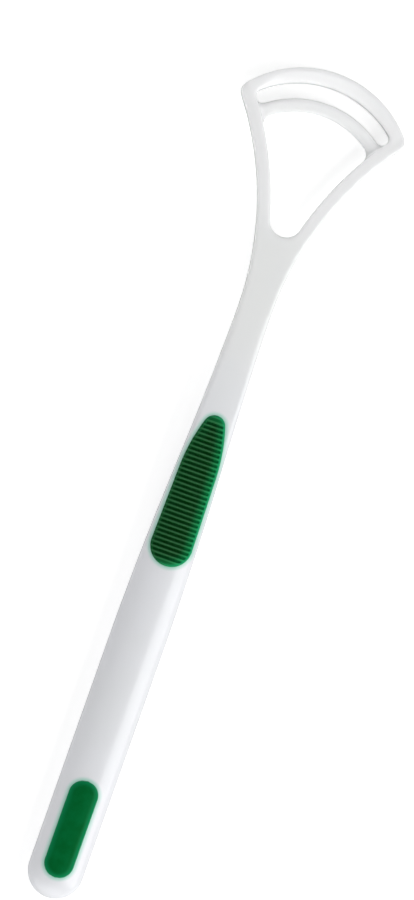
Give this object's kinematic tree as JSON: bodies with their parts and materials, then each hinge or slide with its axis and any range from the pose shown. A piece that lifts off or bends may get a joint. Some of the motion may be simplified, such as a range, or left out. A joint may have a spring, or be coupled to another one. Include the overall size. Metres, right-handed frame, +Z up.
{
  "type": "tongue scraper",
  "caption": "Hand-held tongue scraper: a flat white handle with inlaid green soft grips, a narrow neck and a forked head with a curved scraping edge at its tip and another behind it.",
  "frame": {"origin": "centre of the object's box in X and Y, on the surface that the tool lies on", "axes": "+Y runs along the handle towards the scraping head, +Z points up out of the face with the grips, +X is to the right seen from above"},
  "size_m": [0.0356, 0.18, 0.0077],
  "materials": {
    "white_plastic": "smooth glossy white moulded plastic, slightly milky at its edges",
    "thumb_green": "green soft plastic with fine cross ribs, low sheen",
    "tail_green": "green soft plastic, plain and slightly shiny"
  },
  "bodies": {
    "root": {"scraper_body": "white_plastic", "thumb_grip": "thumb_green", "tail_grip": "tail_green"}
  },
  "joints": []
}
